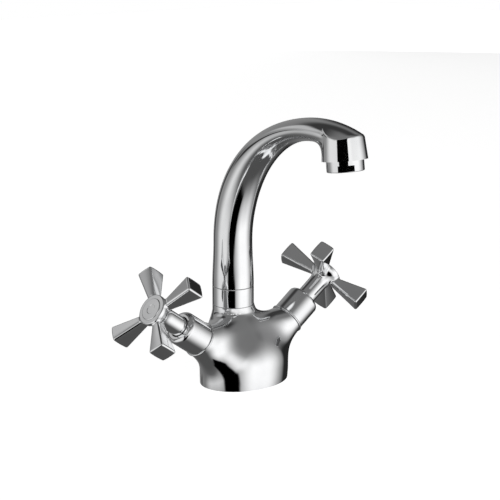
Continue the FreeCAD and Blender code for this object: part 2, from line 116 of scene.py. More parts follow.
# Meshes a form: each cell that straddles the skin gets one point, and each crossed edge one face
def skinMesh(form, low, high, cell):
    low = np.array(low, float)
    values = skinCells(form, low, high, cell)
    cells = np.array(values.shape) - 1
    total = np.zeros((cells.prod(), 3))
    count = np.zeros(cells.prod())
    quads = []
    for axis in range(3):
        side, over = (axis + 1) % 3, (axis + 2) % 3
        lower = np.take(values, range(cells[axis]), axis)
        upper = np.take(values, range(1, cells[axis] + 1), axis)
        spots = np.argwhere((lower < 0) != (upper < 0))
        around = spots[:, [side, over]]
        spots = spots[np.all((around > 0) & (around < cells[[side, over]]), axis=1)]
        first = lower[tuple(spots.T)]
        last = upper[tuple(spots.T)]
        crossing = spots.astype(float)
        crossing[:, axis] += first / (first - last)
        ring = []
        for stepSide, stepOver in ((-1, -1), (0, -1), (0, 0), (-1, 0)):
            corner = spots.copy()
            corner[:, side] += stepSide
            corner[:, over] += stepOver
            flat = np.ravel_multi_index(corner.T, cells)
            np.add.at(total, flat, crossing)
            np.add.at(count, flat, 1)
            ring.append(flat)
        ring = np.stack(ring, 1)
        outward = first < 0
        quads.append(ring[outward])
        quads.append(ring[~outward][:, ::-1])
    quads = np.concatenate(quads)
    used = np.flatnonzero(count)
    numbers = np.full(len(count), -1)
    numbers[used] = np.arange(len(used))
    points = low + cell * total[used] / count[used][:, None]
    return points, numbers[quads]


# Brings points onto the skin and slides them along it until they lie evenly
def settle(form, points, quads, rounds, pull=0.5):
    points = ontoSkin(form, ontoSkin(form, points))
    edges = np.concatenate([quads[:, [n, (n + 1) % 4]] for n in range(4)])
    for index in range(rounds):
        total = np.zeros_like(points)
        count = np.zeros(len(points))
        np.add.at(total, edges[:, 0], points[edges[:, 1]])
        np.add.at(count, edges[:, 0], 1)
        middle = total / np.maximum(count, 1)[:, None]
        points = points + pull * (middle - points)
        points = ontoSkin(form, points)
    return points


def ontoSkin(form, points):
    slope = slopes(form, points)
    square = np.maximum((slope * slope).sum(axis=1), meshRules["leastSlope"] ** 2)
    longest = meshRules["longestStep"]
    step = np.clip(form(points) / square, -longest, longest)
    return points - slope * step[:, None]


# Turns a list of corners (radius, height, rounding) into stretches with true normals
def profileRuns(corners, arcSteps=6):
    count = len(corners)
    ends = []
    for index, (radius, height, rounding) in enumerate(corners):
        here = Vector((radius, height))
        if rounding == 0:
            ends.append((here, here, None))
            continue
        back = (Vector(corners[index - 1][:2]) - here).normalized()
        ahead = (Vector(corners[(index + 1) % count][:2]) - here).normalized()
        half = back.angle(ahead) / 2
        centre = here + (back + ahead).normalized() * (rounding / math.sin(half))
        reach = rounding / math.tan(half)
        ends.append((here + back * reach, here + ahead * reach, centre))
    runs = []
    for index in range(count):
        start, stop, centre = ends[index]
        if centre is not None:
            hollow = 1 if (stop - start).cross(centre - start) > 0 else -1
            first, last = start - centre, stop - centre
            spokes = [first.lerp(last, n / arcSteps).normalized() for n in range(arcSteps + 1)]
            size = first.length
            for one, two in zip(spokes, spokes[1:]):
                runs.append((centre + one * size, one * hollow, centre + two * size, two * hollow))
        following = ends[(index + 1) % count][0]
        along = following - stop
        if along.length > meshRules["tiny"]:
            normal = Vector((along.y, -along.x)).normalized()
            runs.append((stop, normal, following, normal))
    return runs


# Spins a closed outline, given anticlockwise in (radius, height), about the local Z axis
def spun(corners, sides=160, arcSteps=6):
    tiny = meshRules["tiny"]
    points, faces, normals = [], [], []
    for start, startNormal, stop, stopNormal in profileRuns(corners, arcSteps):
        if start.x < tiny and stop.x < tiny:
            continue
        for side in range(sides):
            base = len(points)
            turns = (2 * math.pi * side / sides, 2 * math.pi * (side + 1) / sides)
            spots = [(start, startNormal, turns[0]), (start, startNormal, turns[1]),
                     (stop, stopNormal, turns[1]), (stop, stopNormal, turns[0])]
            if start.x < tiny:
                spots.pop(1)
            elif stop.x < tiny:
                spots.pop(2)
            for place, normal, turn in spots:
                across = Vector((math.cos(turn), math.sin(turn)))
                points.append((place.x * across.x, place.x * across.y, place.y))
                normals.append((normal.x * across.x, normal.x * across.y, normal.y))
            faces.append(list(range(base, base + len(spots))))
    return np.array(points), faces, np.array(normals)


# Makes a piece from corner points in millimetres, welding points that coincide
def makePiece(name, points, faces, normals, place=None):
    place = np.eye(4) if place is None else np.array(place)
    points = points @ place[:3, :3].T + place[:3, 3]
    normals = normals @ place[:3, :3].T
    keys = np.round(points * meshRules["weldSteps"]).astype(np.int64)
    firsts, numbers = np.unique(keys, axis=0, return_index=True, return_inverse=True)[1:]
    numbers = numbers.reshape(-1).tolist()
    welded = [[numbers[n] for n in face] for face in faces]
    mesh = bpy.data.meshes.new(name)
    mesh.from_pydata((points[firsts] * mm).tolist(), [], welded)
    mesh.shade_smooth()
    loopNormals = np.array([normals[n] for face in faces for n in face])
    mesh.normals_split_custom_set(unit(loopNormals).tolist())
    piece = bpy.data.objects.new(name, mesh)
    bpy.context.scene.collection.objects.link(piece)
    return piece


# Cuts a skin with planes (point, outward normal, how far round the point) and closes each cut flat
def cutSkin(name, form, points, quads, cuts):
    mesh = bmesh.new()
    corners = [mesh.verts.new(point) for point in points]
    for quad in quads:
        mesh.faces.new([corners[n] for n in quad])
    isFlat = set()
    for place, normal, reach in cuts:
        middle = Vector(place)
        near = [face for face in mesh.faces if (face.calc_center_bounds() - middle).length < reach]
        touched = {item for face in near for item in (*face.verts, *face.edges)}
        order = sorted(touched, key=lambda item: (isinstance(item, bmesh.types.BMEdge), item.index))
        done = bmesh.ops.bisect_plane(mesh, geom=near + order, plane_co=place, plane_no=normal,
                                      clear_outer=True)
        rim = [item for item in done["geom_cut"] if isinstance(item, bmesh.types.BMEdge)]
        filled = bmesh.ops.triangle_fill(mesh, edges=rim, normal=normal, use_beauty=True)["geom"]
        for face in [item for item in filled if isinstance(item, bmesh.types.BMFace)]:
            face.normal_update()
            if face.normal.dot(Vector(normal)) < 0:
                face.normal_flip()
            isFlat.add(face)
        mesh.verts.index_update()
        mesh.edges.index_update()
    spots = np.array([vert.co[:] for vert in mesh.verts])
    skinNormals = unit(slopes(form, spots))
    allPoints, allFaces, allNormals = [], [], []
    for face in mesh.faces:
        base = len(allPoints)
        for vert in face.verts:
            allPoints.append(spots[vert.index])
            allNormals.append(face.normal[:] if face in isFlat else skinNormals[vert.index])
        allFaces.append(list(range(base, base + len(face.verts))))
    mesh.free()
    return makePiece(name, np.array(allPoints), allFaces, np.array(allNormals))


# Finishes

noiseSpan = (0.3, 0.7)  # where most of a noise texture's values lie
shadeSpan = (0.35, 0.65)


def newFinish(name, metallic):
    finish = bpy.data.materials.new(name)
    finish.use_nodes = True
    nodes = finish.node_tree.nodes
    shader = nodes["Principled BSDF"]
    shader.inputs["Metallic"].default_value = metallic
    place = nodes.new("ShaderNodeTexCoord")
    return finish, shader, place.outputs["Object"]


def noise(finish, place, scale, detail=3.0, stretch=None):
    tree = finish.node_tree
    if stretch is not None:
        mapping = tree.nodes.new("ShaderNodeMapping")
        mapping.inputs["Scale"].default_value = stretch
        tree.links.new(place, mapping.inputs["Vector"])
        place = mapping.outputs["Vector"]
    texture = tree.nodes.new("ShaderNodeTexNoise")
    texture.inputs["Scale"].default_value = scale
    texture.inputs["Detail"].default_value = detail
    tree.links.new(place, texture.inputs["Vector"])
    return texture.outputs["Fac"]


def spread(finish, amount, low, high, socket):
    tree = finish.node_tree
    span = tree.nodes.new("ShaderNodeMapRange")
    span.inputs["From Min"].default_value = noiseSpan[0]
    span.inputs["From Max"].default_value = noiseSpan[1]
    span.inputs["To Min"].default_value = low
    span.inputs["To Max"].default_value = high
    tree.links.new(amount, span.inputs["Value"])
    tree.links.new(span.outputs["Result"], socket)


def shades(finish, amount, first, last, socket):
    tree = finish.node_tree
    ramp = tree.nodes.new("ShaderNodeValToRGB")
    for stop, position, colour in zip(ramp.color_ramp.elements, shadeSpan, (first, last)):
        stop.position = position
        stop.color = (*colour, 1)
    tree.links.new(amount, ramp.inputs["Fac"])
    tree.links.new(ramp.outputs["Color"], socket)


def relief(finish, shader, amount, strength, depth):
    tree = finish.node_tree
    bump = tree.nodes.new("ShaderNodeBump")
    bump.inputs["Strength"].default_value = strength
    bump.inputs["Distance"].default_value = depth
    tree.links.new(amount, bump.inputs["Height"])
    tree.links.new(bump.outputs["Normal"], shader.inputs["Normal"])


chromeLook = {"light": (0.93, 0.935, 0.94), "dark": (0.87, 0.875, 0.885),
              "roughLow": 0.035, "roughHigh": 0.075, "smearScale": 55.0, "speckScale": 900.0,
              "speckDetail": 2.0}
turnedLook = {"scale": 300.0, "detail": 4.0, "stretch": (1.0, 1.0, 6.0), "roughLow": 0.7, "roughHigh": 1.3,
              "strength": 0.1, "depth": 0.0001}
dullLook = {"detail": 5.0, "roughLow": 0.85, "roughHigh": 1.1, "strength": 0.15, "depth": 0.0001}


def polishedChrome(name, roughen=1.0):
    look = chromeLook
    finish, shader, place = newFinish(name, 1.0)
    smear = noise(finish, place, look["smearScale"])
    shades(finish, smear, look["dark"], look["light"], shader.inputs["Base Color"])
    speck = noise(finish, place, look["speckScale"], look["speckDetail"])
    spread(finish, speck, look["roughLow"] * roughen, look["roughHigh"] * roughen,
           shader.inputs["Roughness"])
    return finish


def turnedMetal(name, light, dark, rough):
    look = turnedLook
    finish, shader, place = newFinish(name, 1.0)
    grain = noise(finish, place, look["scale"], look["detail"], look["stretch"])
    shades(finish, grain, dark, light, shader.inputs["Base Color"])
    spread(finish, grain, rough * look["roughLow"], rough * look["roughHigh"], shader.inputs["Roughness"])
    relief(finish, shader, grain, look["strength"], look["depth"])
    return finish


def dullSolid(name, light, dark, rough, scale):
    look = dullLook
    finish, shader, place = newFinish(name, 0.0)
    mottle = noise(finish, place, scale, look["detail"])
    shades(finish, mottle, dark, light, shader.inputs["Base Color"])
    spread(finish, mottle, rough * look["roughLow"], rough * look["roughHigh"], shader.inputs["Roughness"])
    relief(finish, shader, mottle, look["strength"], look["depth"])
    return finish


finishes = {
    "body_chrome": polishedChrome("bodyChrome"),
    "spout_chrome": polishedChrome("spoutChrome"),
    "trim_chrome": polishedChrome("trimChrome", 0.9),
    "handle_chrome": polishedChrome("handleChrome"),
    "cap_chrome": polishedChrome("capChrome", 1.1),
    "valve_brass": turnedMetal("valveBrass", (0.80, 0.61, 0.30), (0.68, 0.48, 0.20), 0.28),
    "screw_steel": turnedMetal("screwSteel", (0.62, 0.62, 0.63), (0.48, 0.48, 0.50), 0.30),
    "screen_steel": turnedMetal("screenSteel", (0.58, 0.58, 0.58), (0.42, 0.42, 0.43), 0.36),
    "disc_ceramic": dullSolid("discCeramic", (0.86, 0.84, 0.80), (0.78, 0.76, 0.72), 0.22, 400.0),
    "seal_rubber": dullSolid("sealRubber", (0.035, 0.035, 0.036), (0.018, 0.018, 0.018), 0.62, 700.0),
    "clip_plastic": dullSolid("clipPlastic", (0.72, 0.70, 0.64), (0.62, 0.60, 0.55), 0.42, 350.0),
    "insert_plastic": dullSolid("insertPlastic", (0.66, 0.68, 0.70), (0.55, 0.57, 0.60), 0.40, 350.0),
}


def dress(piece, body, slot, *nodes):
    piece.data.materials.clear()
    piece.data.materials.append(finishes[slot])
    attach(piece, body)
    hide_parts(*nodes)


for item in frame["record"]["subparts"]:  # inner pieces keep their CAD shape
    node = frame["nodes"][item["node"]]
    node.data.materials.clear()
    node.data.materials.append(finishes[item["material_slot"]])
print("finishes:", len(finishes))


# Mixer body: a domed oval core that draws in to a round neck, with a yoke of two raised arms

mixerBody = {"halfWidth": 33.6, "halfDepth": 26.3, "bellyHeight": 10.0, "footDraw": 0.02, "flareTop": 48.5,
             "domePower": 2.4, "fullness": 1.6, "neckRadius": 14.4, "setBack": 12.0, "neckTop": 51.8,
             "armTilt": math.radians(35.5), "armEnd": 47.2, "armRadius": 11.9, "axisHeight": 8.2,
             "yokeTop": 44.0, "yokeBottom": 8.0, "yokeHalfDepth": 9.0, "yokeCurve": 2.2, "yokeBeyond": 1.3,
             "fillet": 11.0, "lowFillet": 15.0, "filletFade": 0.4, "filletLow": 20.0, "filletRise": 18.0,
             "pocketWall": 5.6, "pocketDepth": 9.0, "cell": 0.9, "margin": 3.0, "armMargin": 4.0,
             "yokeRounds": 6, "settleRounds": 4, "baseReach": 90.0, "armReach": 30.0}


# How far the core has spread from the neck's circle (0) to the belly's oval (1)
def coreShare(height):
    size = mixerBody
    belly = size["bellyHeight"]
    foot = 1 - size["footDraw"] * np.clip((belly - height) / belly, 0, 1) ** 2
    climb = np.clip((height - belly) / (size["flareTop"] - belly), 0, 1)
    return np.where(height < belly, foot, (1 - climb ** size["domePower"]) ** size["fullness"])


def bodyCore(points):
    size = mixerBody
    share = coreShare(points[:, 2])
    halfX = between(size["neckRadius"], size["halfWidth"], share)
    halfY = between(size["neckRadius"], size["halfDepth"], share)
    centreY = size["setBack"] * (1 - share)
    ring = np.sqrt((points[:, 0] / halfX) ** 2 + ((points[:, 1] - centreY) / halfY) ** 2)
    return (ring - 1) * np.minimum(halfX, halfY)


def armPoint(distance, lift=0.0):
    tilt = mixerBody["armTilt"]
    along = np.array((math.cos(tilt), math.sin(tilt)))
    over = np.array((-math.sin(tilt), math.cos(tilt)))
    return along * distance + over * lift + np.array((0, mixerBody["axisHeight"]))


# Ends of the yoke's section at a share of the way out to the arm's end, and how fast they rise
def yokeSection(share):
    size = mixerBody
    endTop = armPoint(size["armEnd"], size["armRadius"])
    endBottom = armPoint(size["armEnd"], -size["armRadius"])
    power = size["yokeCurve"]
    topRise = endTop[1] - size["yokeTop"]
    bottomRise = endBottom[1] - size["yokeBottom"]
    top = (endTop[0] * share, size["yokeTop"] + topRise * share ** 2)
    bottom = (endBottom[0] * share, size["yokeBottom"] + bottomRise * share ** power)
    topSlope = (endTop[0], 2 * topRise * share)
    bottomSlope = (endBottom[0], power * bottomRise * share ** (power - 1))
    return top, bottom, topSlope, bottomSlope


def bodyYoke(points):
    size = mixerBody
    beyond = size["yokeBeyond"]
    across = np.abs(points[:, 0])
    height = points[:, 2]
    share = np.clip(across / armPoint(size["armEnd"])[0], 0, beyond)
    flattest = -1.0  # keeps each step of the search finite
    for index in range(size["yokeRounds"]):  # finds the section that each point lies in
        (topX, topZ), (bottomX, bottomZ), topSlope, bottomSlope = yokeSection(share)
        miss = (across - bottomX) * (topZ - bottomZ) - (height - bottomZ) * (topX - bottomX)
        slope = (-bottomSlope[0] * (topZ - bottomZ) + (across - bottomX) * (topSlope[1] - bottomSlope[1])
                 + bottomSlope[1] * (topX - bottomX) - (height - bottomZ) * (topSlope[0] - bottomSlope[0]))
        share = np.clip(share - miss / np.minimum(slope, flattest), 0, beyond)
    (topX, topZ), (bottomX, bottomZ) = yokeSection(share)[:2]
    halfX, halfZ = (topX - bottomX) / 2, (topZ - bottomZ) / 2
    rise = (across - bottomX - halfX) * halfX + (height - bottomZ - halfZ) * halfZ
    rise = rise / (halfX ** 2 + halfZ ** 2)
    halfDepth = between(size["yokeHalfDepth"], size["armRadius"], smoothStep(share))
    return (np.sqrt(rise ** 2 + (points[:, 1] / halfDepth) ** 2) - 1) * halfDepth


# The fillet is wide below the arms and tighter in the corner with the neck
def shoulderRadius(points):
    size = mixerBody
    climb = smoothStep((points[:, 2] - size["filletLow"]) / size["filletRise"])
    return between(size["lowFillet"], size["fillet"], climb)


def basePocket(points):
    halfX = mixerBody["halfWidth"] - mixerBody["pocketWall"]
    halfY = mixerBody["halfDepth"] - mixerBody["pocketWall"]
    ring = np.hypot(points[:, 0] / halfX, points[:, 1] / halfY)
    return np.maximum((ring - 1) * halfY, points[:, 2] - mixerBody["pocketDepth"])


def makeBody():
    size = mixerBody
    outside = filletJoin(bodyCore, bodyYoke, shoulderRadius, size["filletFade"])

    def form(points):
        return np.maximum(outside(points), -basePocket(points))

    margin, reach = size["margin"], size["baseReach"]
    farX = armPoint(size["armEnd"] + size["armMargin"], -size["armRadius"])[0]
    low = (-farX, -size["halfDepth"] - margin, -margin)
    high = (farX, size["halfDepth"] + margin, size["neckTop"] + margin)
    points, quads = skinMesh(form, low, high, size["cell"])
    points = settle(form, points, quads, size["settleRounds"])
    cuts = [((0, 0, 0), (0, 0, -1), reach), ((0, 0, size["neckTop"]), (0, 0, 1), reach)]
    end = armPoint(size["armEnd"])
    along = armPoint(1) - armPoint(0)
    for side in (-1, 1):
        cuts.append(((side * end[0], 0, end[1]), (side * along[0], 0, along[1]), size["armReach"]))
    piece = cutSkin("bodyCasting", form, points, quads, cuts)
    dress(piece, "mixer_body", "body_chrome", "mixer_body")
    print("body casting:", len(piece.data.polygons), "faces")


makeBody()


# Collar nut on the neck

collarNut = {"radius": 14.4, "bore": 12.05, "bottom": 51.8, "lipBore": 9.8, "lip": 62.8, "top": 65.1,
             "edge": 0.5}


def makeCollar():
    size = collarNut
    corners = [(size["bore"], size["bottom"], 0), (size["radius"], size["bottom"], size["edge"]),
               (size["radius"], size["top"], size["edge"]), (size["lipBore"], size["top"], 0),
               (size["lipBore"], size["lip"], 0), (size["bore"], size["lip"], 0)]
    place = Matrix.Translation((0, mixerBody["setBack"], 0))
    piece = makePiece("collarNut", *spun(corners), place)
    dress(piece, "mixer_body", "trim_chrome", "spout_collar_nut")
    print("collar nut:", len(piece.data.polygons), "faces")


makeCollar()


# Spout: a round column that bends over, flattens and runs into an upright outlet head

archedSpout = {"axisY": 12.0, "start": 65.4, "bendStart": 97.0, "bendRadius": 86.2, "footRadius": 14.4,
               "columnRadius": 13.4, "armHalfWidth": 12.4, "armHalfHeight": 7.4, "flattenFrom": 14.0,
               "flattenTo": 82.0, "bendEnd": 106.0, "fillet": 11.0, "sideFillet": 8.0, "topFillet": 0.05,
               "sideShare": 0.6, "filletFade": 1.0, "filletEnd": 101.0, "filletRun": 3.5, "cell": 0.9,
               "margin": 3.0, "settleRounds": 4, "cutReach": 30.0}
outletHead = {"place": (0.0, -97.5, 167.4), "tilt": math.radians(-7.5), "radius": 14.5, "taper": 0.085,
              "crownShare": 0.7, "edge": 0.9, "spare": 3.0, "margin": 4.0}


def headPlace():
    return Matrix.Translation(outletHead["place"]) @ Matrix.Rotation(outletHead["tilt"], 4, "X")


def aroundBend(points):
    size = archedSpout
    y = points[:, 1] - (size["axisY"] - size["bendRadius"])
    z = points[:, 2] - size["bendStart"]
    return np.hypot(y, z), np.degrees(np.arctan2(z, y))


def flatShare(turn):
    size = archedSpout
    return smoothStep((turn - size["flattenFrom"]) / (size["flattenTo"] - size["flattenFrom"]))


def armWidth(turn):
    return between(archedSpout["columnRadius"], archedSpout["armHalfWidth"], flatShare(turn))


def spoutArm(points):
    size = archedSpout
    distance, turn = aroundBend(points)
    share = flatShare(turn)
    rise = (points[:, 2] - size["start"]) / (size["bendStart"] - size["start"])
    column = between(size["footRadius"], size["columnRadius"], smoothStep(rise))
    straight = points[:, 2] < size["bendStart"]
    halfWidth = np.where(straight, column, armWidth(turn))
    halfHeight = np.where(straight, column, between(size["columnRadius"], size["armHalfHeight"], share))
    over = np.where(straight, points[:, 1] - size["axisY"], distance - size["bendRadius"])
    ring = np.sqrt((points[:, 0] / halfWidth) ** 2 + (over / halfHeight) ** 2)
    past = np.where(straight, -size["bendRadius"], np.radians(turn - size["bendEnd"]) * distance)
    return np.maximum((ring - 1) * halfHeight, past)


# Height and slope of the arm's top over its middle line, carried on straight past the crown
def armCrown(across, turn):
    halfWidth, halfHeight = armWidth(turn), archedSpout["armHalfHeight"]
    inner = np.minimum(across, outletHead["crownShare"] * halfWidth)
    drop = np.sqrt(1 - (inner / halfWidth) ** 2)
    fall = halfHeight * inner / (halfWidth ** 2 * drop)
    return halfHeight * drop - fall * (across - inner), fall


def spoutHead(points):
    size = outletHead
    turned = np.array(headPlace().inverted())
    local = points @ turned[:3, :3].T + turned[:3, 3]
    wall = np.hypot(local[:, 0], local[:, 1]) - (size["radius"] - size["taper"] * local[:, 2])
    distance, turn = aroundBend(points)
    crown, fall = armCrown(np.abs(points[:, 0]), turn)
    roof = (distance - archedSpout["bendRadius"] - crown) / np.hypot(1, fall)
    return np.maximum(-roundJoin(-wall, -roof, size["edge"]), -size["spare"] - local[:, 2])


# The fillet is widest under the arm's end and thins out up the sides, so the top keeps a crisp edge
def throatRadius(points):
    size = archedSpout
    distance, turn = aroundBend(points)
    under = (size["bendRadius"] - distance) / size["armHalfHeight"]
    side = between(size["topFillet"], size["sideFillet"], smoothStep(1 + under / size["sideShare"]))
    full = between(side, size["fillet"], smoothStep(under))
    return between(full, size["topFillet"], smoothStep((turn - size["filletEnd"]) / size["filletRun"]))


def makeSpout():
    size = archedSpout
    form = filletJoin(spoutArm, spoutHead, throatRadius, size["filletFade"])
    head, margin = outletHead, size["margin"]
    halfX = size["footRadius"] + margin
    top = size["bendStart"] + size["bendRadius"] + size["armHalfHeight"]
    low = (-halfX, head["place"][1] - head["radius"] - head["margin"], size["start"] - margin)
    high = (halfX, size["axisY"] + halfX, top + margin)
    points, quads = skinMesh(form, low, high, size["cell"])
    points = settle(form, points, quads, size["settleRounds"])
    down = headPlace().to_3x3() @ Vector((0, 0, -1))
    cuts = [((0, size["axisY"], size["start"]), (0, 0, -1), size["cutReach"]),
            (head["place"], down, size["cutReach"])]
    piece = cutSkin("spoutArch", form, points, quads, cuts)
    dress(piece, "spout", "spout_chrome", "spout")
    print("spout arch:", len(piece.data.polygons), "faces")


makeSpout()


# Aerator under the outlet head

aeratorSkirt = {"radius": 11.9, "inner": 10.2, "lip": 0.9, "lipHeight": 1.2, "lipEdge": 0.3, "drop": 7.1,
                "grip": 6.6, "rim": 0.6, "flats": 21.4, "flatsHeight": 4.2, "flatsTurn": math.radians(50.0)}


# Presses two flats into the lower part of a spun skirt and closes the step above each
def pressFlats(points, faces, normals, flatTop):
    size = aeratorSkirt
    across = np.array((math.cos(size["flatsTurn"]), math.sin(size["flatsTurn"]), 0))
    out = points @ across
    beyond = np.maximum(np.abs(out) - size["flats"] / 2, 0)
    slack, upright = 1e-4, 0.9
    whole = points.copy()
    ledges = []
    for face in faces:
        if max(points[n][2] for n in face) > flatTop + slack:
            continue
        for n in face:
            if beyond[n] > 0:
                points[n] -= across * beyond[n] * np.sign(out[n])
                if np.hypot(*normals[n][:2]) > upright:  # the wall turns to face the flat's way
                    normals[n] = across * np.sign(out[n])
        top = [n for n in face if points[n][2] > flatTop - slack]
        if any(beyond[n] > 0 for n in top):
            ledges.append([points[n] for n in reversed(top)] + [whole[n] for n in top if beyond[n] > 0])
    for ledge in ledges:
        faces.append(list(range(len(points), len(points) + len(ledge))))
        points = np.concatenate([points, ledge])
        normals = np.concatenate([normals, [(0, 0, -1)] * len(ledge)])
    return points, faces, normals


def makeAerator():
    size = aeratorSkirt
    bottom = -size["drop"]
    flatTop = bottom + size["flatsHeight"]
    lipTop = bottom + size["lipHeight"]
    bore = size["inner"] - size["lip"]
    corners = [(bore, bottom, size["lipEdge"]), (size["radius"], bottom, size["rim"]),
               (size["radius"], flatTop, 0), (size["radius"], size["grip"], 0),
               (size["inner"], size["grip"], 0), (size["inner"], lipTop, 0), (bore, lipTop, 0)]
    points, faces, normals = pressFlats(*spun(corners), flatTop)
    piece = makePiece("aeratorSkirt", points, faces, normals, headPlace())
    dress(piece, "spout", "trim_chrome", "aerator_housing")
    print("aerator skirt:", len(piece.data.polygons), "faces")


makeAerator()


# Trim ring, bonnet, cross handle and cap on each arm, in the arm's own frame with Z outwards

trimRing = {"radius": 12.5, "bore": 9.0, "start": 47.2, "end": 49.4, "edge": 0.7, "groove": 0.35,
            "floor": 11.2}
bonnetSleeve = {"radius": 11.7, "bore": 7.3, "start": 49.4, "end": 69.2, "round": 3.0, "wall": 1.4,
                "cover": 3.2, "boreEdge": 0.3}
crossHandle = {"shankRadius": 6.8, "shankStart": 66.6, "flare": 2.5, "hubRadius": 10.8, "hubBack": 87.8,
               "hubRim": 93.6, "hubFront": 97.0, "hubEdge": 0.8, "reach": 34.1, "rootWidth": 6.0,
               "tipWidth": 12.2, "rootDepth": 7.4, "tipDepth": 14.6, "tipFront": 99.0, "edge": 1.3,
               "bow": 0.25, "bowLimit": 1.2, "leastHalf": 1.0, "rootBlend": 2.2, "cell": 0.5, "margin": 2.0,
               "settleRounds": 2, "settlePull": 0.3, "cutReach": 20.0, "hotTurn": 46.4, "coldTurn": 29.0}
indexCap = {"radius": 7.9, "start": 95.2, "end": 97.5, "round": 0.8, "dotRadius": 3.4, "dotDepth": 0.3,
            "dotSlope": 0.3, "dotEdge": 0.1, "sides": 128}


def armPlace(side, turn=0.0):
    lean = Matrix.Rotation(side * (math.pi / 2 - mixerBody["armTilt"]), 4, "Y")
    spin = Matrix.Rotation(math.radians(turn), 4, "Z")
    return Matrix.Translation((0, 0, mixerBody["axisHeight"])) @ lean @ spin


# Four arms as one: a point is folded into the arm that it lies nearest to
def handleArms(points):
    size = crossHandle
    flat = np.abs(points[:, :2])
    out = flat.max(axis=1)
    across = flat.min(axis=1)
    share = (out - size["hubRadius"]) / (size["reach"] - size["hubRadius"])
    halfWidth = np.maximum(between(size["rootWidth"], size["tipWidth"], share) / 2, size["leastHalf"])
    halfDepth = np.maximum(between(size["rootDepth"], size["tipDepth"], share) / 2, size["leastHalf"])
    deep = np.abs(points[:, 2] - size["tipFront"] + size["tipDepth"] / 2)
    bowAcross = size["bow"] * np.minimum(across / halfWidth, size["bowLimit"]) ** 2  # crowns every face
    bowDeep = size["bow"] * np.minimum(deep / halfDepth, size["bowLimit"]) ** 2
    walls = np.stack([across - halfWidth + bowDeep, deep - halfDepth + bowAcross,
                      out - size["reach"] + bowAcross + bowDeep], 1)
    return roundedBlock(walls, size["edge"])


# Hub with a coned back, on a round shank
def handleForm(points):
    size = crossHandle
    distance = np.hypot(points[:, 0], points[:, 1])
    coneSlope = (size["hubRim"] - size["hubBack"]) / (size["hubRadius"] - size["shankRadius"])
    cone = size["hubBack"] + (distance - size["shankRadius"]) * coneSlope - points[:, 2]
    cone = cone / math.hypot(1, coneSlope)
    walls = np.stack([distance - size["hubRadius"], points[:, 2] - size["hubFront"], cone], 1)
    hub = roundedBlock(walls, size["hubEdge"])
    shank = np.maximum(distance - size["shankRadius"], points[:, 2] - size["hubRim"])
    return roundJoin(roundJoin(hub, shank, size["flare"]), handleArms(points), size["rootBlend"])


def makeHandle():
    size = crossHandle
    span = size["reach"] + size["margin"]
    low = (-span, -span, size["shankStart"] - size["margin"])
    high = (span, span, size["tipFront"] + size["margin"])
    points, quads = skinMesh(handleForm, low, high, size["cell"])
    points = settle(handleForm, points, quads, size["settleRounds"], size["settlePull"])
    cuts = [((0, 0, size["shankStart"]), (0, 0, -1), size["cutReach"])]
    return cutSkin("crossHandle", handleForm, points, quads, cuts)


def placedCopy(source, name, place):
    mesh = source.data.copy()
    mesh.name = name
    mesh.transform(Matrix.Scale(mm, 4) @ place @ Matrix.Scale(1 / mm, 4))
    piece = bpy.data.objects.new(name, mesh)
    bpy.context.scene.collection.objects.link(piece)
    return piece


def ringOutline():
    size = trimRing
    beadStart, beadEnd = size["start"] + size["groove"], size["end"] - size["groove"]
    return [(size["bore"], size["start"], 0), (size["floor"], size["start"], 0),
            (size["floor"], beadStart, 0), (size["radius"], beadStart, size["edge"]),
            (size["radius"], beadEnd, size["edge"]), (size["floor"], beadEnd, 0),
            (size["floor"], size["end"], 0), (size["bore"], size["end"], 0)]


def sleeveOutline():
    size = bonnetSleeve
    inner = size["radius"] - size["wall"]
    coverStart = size["end"] - size["cover"]
    return [(inner, size["start"], 0), (size["radius"], size["start"], 0),
            (size["radius"], size["end"], size["round"]), (size["bore"], size["end"], size["boreEdge"]),
            (size["bore"], coverStart, 0), (inner, coverStart, 0)]


def capOutline():
    size = indexCap
    dotFloor = size["end"] - size["dotDepth"]
    return [(0, size["start"], 0), (size["radius"], size["start"], 0),
            (size["radius"], size["end"], size["round"]), (size["dotRadius"], size["end"], size["dotEdge"]),
            (size["dotRadius"] - size["dotSlope"], dotFloor, size["dotEdge"]), (0, dotFloor, 0)]


def makeValveTrim():
    handle = makeHandle()
    for side, word, turn in ((-1, "hot", crossHandle["hotTurn"]), (1, "cold", crossHandle["coldTurn"])):
        place = armPlace(side)
        trim = makePiece(word + "TrimRing", *spun(ringOutline()), place)
        dress(trim, "mixer_body", "trim_chrome", word + "_trim_ring")
        bonnet = makePiece(word + "Bonnet", *spun(sleeveOutline(), arcSteps=10), place)
        dress(bonnet, "mixer_body", "trim_chrome", word + "_bonnet")
        cross = placedCopy(handle, word + "CrossHandle", armPlace(side, turn))
        dress(cross, word + "_handle", "handle_chrome", word + "_handle")
        button = makePiece(word + "IndexCap", *spun(capOutline(), indexCap["sides"]), place)
        dress(button, word + "_handle", "cap_chrome", word + "_index_cap")
        print(word, "valve trim:", len(cross.data.polygons), "faces on the handle")
    bpy.data.objects.remove(handle)


makeValveTrim()


# Floor, light and camera, placed in metres

photoCamera = {"eye": (-0.5988, -0.7181, 0.3168), "aim": (0.0090, 0.0044, 0.0899), "lens": 101.4,
               "sensor": 36.0}
paleFloor = {"size": 6.0, "tone": 0.9, "rough": 0.8, "glow": 0.83}
lightTent = {"radius": 2.4, "centre": (0.0, 0.0, 0.1), "columns": 240, "rows": 120,
             "top": 0.17, "middle": 0.27, "bottom": 0.08, "fade": 60.0}
